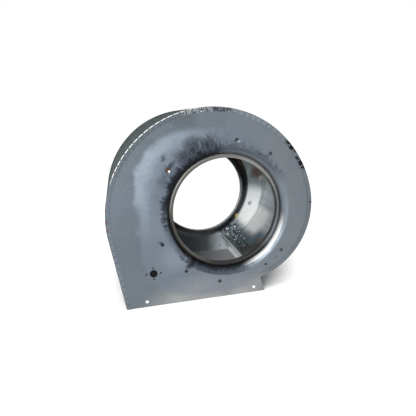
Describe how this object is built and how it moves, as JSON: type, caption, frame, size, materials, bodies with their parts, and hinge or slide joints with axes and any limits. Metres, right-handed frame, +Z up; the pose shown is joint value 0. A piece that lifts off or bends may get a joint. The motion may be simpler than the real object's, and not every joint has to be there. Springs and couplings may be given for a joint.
{
  "type": "blower housing",
  "caption": "Sheet-steel scroll housing for a double-inlet centrifugal blower, with drawn bellmouth inlets, tabbed seams and an open outlet",
  "frame": {"origin": "middle of the base rectangle of the whole part, on the plane of the outlet edges", "axes": "+Z up from the outlet, +X towards the cutoff side, +Y along the wheel axis away from the front side plate"},
  "size_m": [0.4424, 0.314, 0.4054],
  "materials": {
    "side_plate_steel": "galvanised sheet, dull and cloudy, with dark smudges round the inlets",
    "wrap_steel": "galvanised sheet, dull outside and bright inside",
    "cutoff_steel": "galvanised sheet with a bright folded nose",
    "rivet_steel": "bright zinc plate",
    "black_plastic": "matt black moulding"
  },
  "bodies": {
    "root": {"front_side_plate": "side_plate_steel", "rear_side_plate": "side_plate_steel", "scroll_wrap": "wrap_steel", "cutoff_plate": "cutoff_steel", "hole_plug": "black_plastic", "cutoff_rivet_1": "rivet_steel", "cutoff_rivet_2": "rivet_steel", "cutoff_rivet_3": "rivet_steel", "cutoff_rivet_4": "rivet_steel"}
  },
  "joints": []
}
